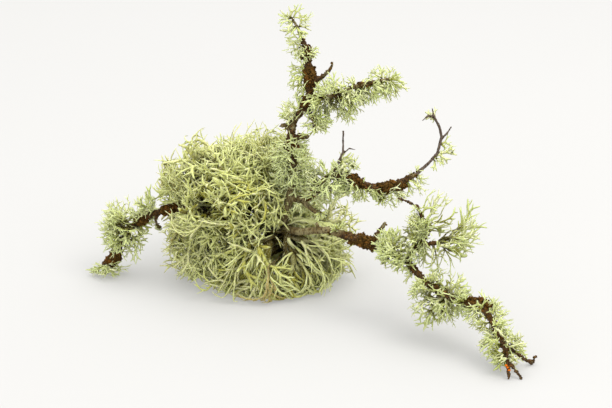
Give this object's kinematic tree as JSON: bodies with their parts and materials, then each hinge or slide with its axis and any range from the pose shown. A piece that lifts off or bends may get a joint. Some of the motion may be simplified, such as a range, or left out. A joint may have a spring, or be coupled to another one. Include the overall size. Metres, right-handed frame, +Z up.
{
  "type": "lichen on a twig",
  "caption": "Crooked forked twig overgrown with strap lichen: one big clump it rests on, small tufts along its branches and patches of brown crust.",
  "frame": {"origin": "on the flat underside of the big clump, near its middle, in the plane the object rests on", "axes": "+X to the right along the longest extent, towards the leg and the hook; +Y to the back; +Z up"},
  "size_m": [0.2117, 0.1581, 0.1397],
  "materials": {
    "bark": "dry, rough",
    "brown_crust": "dry, scaly",
    "oakmoss": "matt, dry",
    "branch_lichen": "matt, dry"
  },
  "bodies": {
    "root": {"crust_left_inner": "brown_crust", "crust_left_knob": "brown_crust", "crust_left_tip": "brown_crust", "crust_leg_inner": "brown_crust", "crust_leg_outer": "brown_crust", "crust_right_inner": "brown_crust", "crust_right_outer": "brown_crust", "crust_stem_bend": "brown_crust", "crust_stem_high": "brown_crust", "crust_stem_low": "brown_crust", "crust_top": "brown_crust", "oakmoss_back": "oakmoss", "oakmoss_behind_stem": "oakmoss", "oakmoss_front": "oakmoss", "oakmoss_left": "oakmoss", "oakmoss_middle": "oakmoss", "oakmoss_right": "oakmoss", "oakmoss_upper": "oakmoss", "tuft_bend_left": "branch_lichen", "tuft_curl_left": "branch_lichen", "tuft_curl_right": "branch_lichen", "tuft_hook": "branch_lichen", "tuft_left": "branch_lichen", "tuft_left_foot": "branch_lichen", "tuft_left_hanging": "branch_lichen", "tuft_left_high": "branch_lichen", "tuft_leg_lower": "branch_lichen", "tuft_leg_middle": "branch_lichen", "tuft_leg_upper": "branch_lichen", "tuft_low_spur": "branch_lichen", "tuft_right_end": "branch_lichen", "tuft_right_inner": "branch_lichen", "tuft_right_low": "branch_lichen", "tuft_right_under": "branch_lichen", "tuft_side_inner": "branch_lichen", "tuft_side_outer": "branch_lichen", "tuft_stem_left": "branch_lichen", "tuft_stem_wrap": "branch_lichen", "tuft_tip": "branch_lichen", "tuft_top_left": "branch_lichen", "tuft_twiglet": "branch_lichen", "twig_curl": "bark", "twig_hook": "bark", "twig_hook_tip": "bark", "twig_left_inner": "bark", "twig_left_outer": "bark", "twig_leg_inner": "bark", "twig_leg_outer": "bark", "twig_right_inner": "bark", "twig_right_outer": "bark", "twig_side": "bark", "twig_stem": "bark", "twig_toe_front": "bark", "twig_toe_side": "bark", "twig_top": "bark", "twig_twiglet": "bark"}
  },
  "joints": []
}
